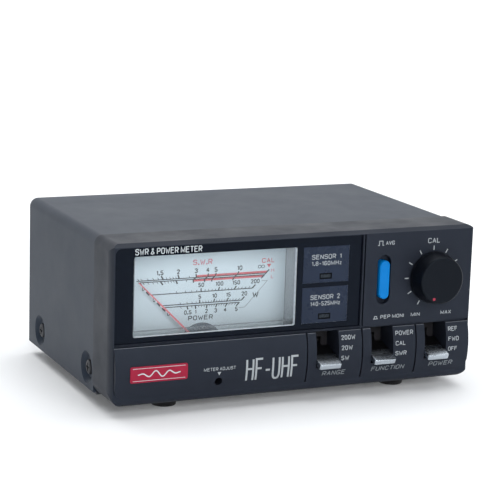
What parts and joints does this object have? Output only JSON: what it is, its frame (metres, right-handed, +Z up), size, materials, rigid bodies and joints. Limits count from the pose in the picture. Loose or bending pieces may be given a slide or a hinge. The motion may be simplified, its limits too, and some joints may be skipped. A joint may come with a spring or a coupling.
{
  "type": "swr meter",
  "caption": "Cased SWR and power meter with a moving-coil dial behind a dark window, rotary CAL knob, push button, chrome levers and rear coaxial sockets.",
  "frame": {"origin": "middle of the object's box at the bottom of the feet", "axes": "+Z up, +X to the right seen from the front, +Y from the front face to the rear sockets"},
  "size_m": [0.155, 0.123, 0.0673],
  "materials": {
    "bezel_plastic": "fine satin texture",
    "window_acrylic": "glossy",
    "label_print": "satin print",
    "led_lens": "diffuse lens",
    "clear_plastic": "clear gloss",
    "black_plastic": "satin",
    "dial_paint": "matte paint",
    "cap_paint": "matte paint",
    "magnet_steel": "ground",
    "soft_iron": "turned",
    "brass": "satin",
    "circuit_board": "solder mask",
    "switch_plastic": "satin",
    "housing_plastic": "satin",
    "bright_steel": "zinc plated",
    "ribbon": "satin",
    "tinplate": "bright",
    "copper": "bright",
    "nickel": "nickel plated",
    "white_insulator": "waxy",
    "contact_gold": "plated",
    "cover_paint": "fine textured paint",
    "tray_paint": "matte paint",
    "foot_rubber": "matte",
    "black_screw": "black oxide",
    "pointer_paint": "matte paint",
    "blue_plastic": "gloss",
    "knob_plastic": "satin",
    "lever_chrome": "bright chrome"
  },
  "bodies": {
    "case": {"front_bezel": "bezel_plastic", "display_window": "window_acrylic", "sensor_label_1": "label_print", "sensor_label_2": "label_print", "led_1": "led_lens", "led_2": "led_lens", "meter_cover": "clear_plastic", "meter_case": "black_plastic", "dial_plate": "dial_paint", "movement_cap": "cap_paint", "core_magnet": "magnet_steel", "core_spacers": "brass", "yoke_ring": "soft_iron", "front_bridge": "brass", "rear_bridge": "brass", "jewel_screws": "brass", "meter_terminals": "brass", "lamp_board": "circuit_board", "pep_switch": "switch_plastic", "cal_pot": "bright_steel", "pot_nut": "bright_steel", "range_switch": "housing_plastic", "function_switch": "housing_plastic", "power_switch": "housing_plastic", "lever_pins": "bright_steel", "switch_board": "circuit_board", "main_board": "circuit_board", "board_parts": "black_plastic", "board_standoffs": "brass", "board_screws": "bright_steel", "ribbon_cable": "ribbon", "sensor_box_1": "tinplate", "sensor_box_2": "tinplate", "sensor_lids": "tinplate", "coupler_lines": "copper", "coax_shell_1": "nickel", "coax_shell_2": "nickel", "coax_shell_3": "nickel", "coax_shell_4": "nickel", "coax_insulators": "white_insulator", "coax_contacts": "contact_gold", "coax_screws": "bright_steel", "dc_jack": "black_plastic", "top_cover": "cover_paint", "chassis_tray": "tray_paint", "feet": "foot_rubber", "foot_screws": "bright_steel", "cover_screws": "black_screw"},
    "needle": {"pointer": "pointer_paint", "moving_coil": "copper", "pivot_staff": "bright_steel", "hairspring": "brass"},
    "adjuster": {"zero_screw": "brass"},
    "adjuster_arm": {"zero_arm": "bright_steel"},
    "pep": {"pep_button": "blue_plastic"},
    "cal": {"cal_knob": "knob_plastic", "pot_shaft": "bright_steel"},
    "range": {"range_lever": "lever_chrome"},
    "function": {"function_lever": "lever_chrome"},
    "power": {"power_lever": "lever_chrome"}
  },
  "joints": [
    {"name": "pointer_swing", "type": "hinge", "parent": "case", "child": "needle", "pos_m": [-0.0352, -0.04145, 0.0224], "axis": [0, 1, 0], "range_deg": [0, 90], "stiffness_Nm_per_rad": 0.0008},
    {"name": "zero_adjust", "type": "hinge", "parent": "case", "child": "adjuster", "pos_m": [-0.0339, -0.04845, 0.0118], "axis": [0, 1, 0], "range_deg": [-30, 30]},
    {"name": "zero_arm_turn", "type": "hinge", "parent": "case", "child": "adjuster_arm", "pos_m": [-0.0352, -0.04675, 0.0224], "axis": [0, 1, 0], "range_deg": [-3, 3]},
    {"name": "pep_push", "type": "slide", "parent": "case", "child": "pep", "axis": [0, 1, 0], "range_m": [0, 0.003], "stiffness_N_per_m": 400, "springref_m": -0.001},
    {"name": "cal_turn", "type": "hinge", "parent": "case", "child": "cal", "pos_m": [0.0588, -0.05345, 0.047], "axis": [0, 1, 0], "range_deg": [0, 300]},
    {"name": "range_tilt", "type": "hinge", "parent": "case", "child": "range", "pos_m": [0.01245, -0.04065, 0.021], "axis": [-1, 0, 0], "range_deg": [0, 40]},
    {"name": "function_tilt", "type": "hinge", "parent": "case", "child": "function", "pos_m": [0.03665, -0.04065, 0.021], "axis": [-1, 0, 0], "range_deg": [0, 40]},
    {"name": "power_tilt", "type": "hinge", "parent": "case", "child": "power", "pos_m": [0.06085, -0.04065, 0.021], "axis": [-1, 0, 0], "range_deg": [0, 40]}
  ],
  "couplings": [
    {"joint": "zero_arm_turn", "follows": "zero_adjust", "ratio": -0.09203}
  ]
}
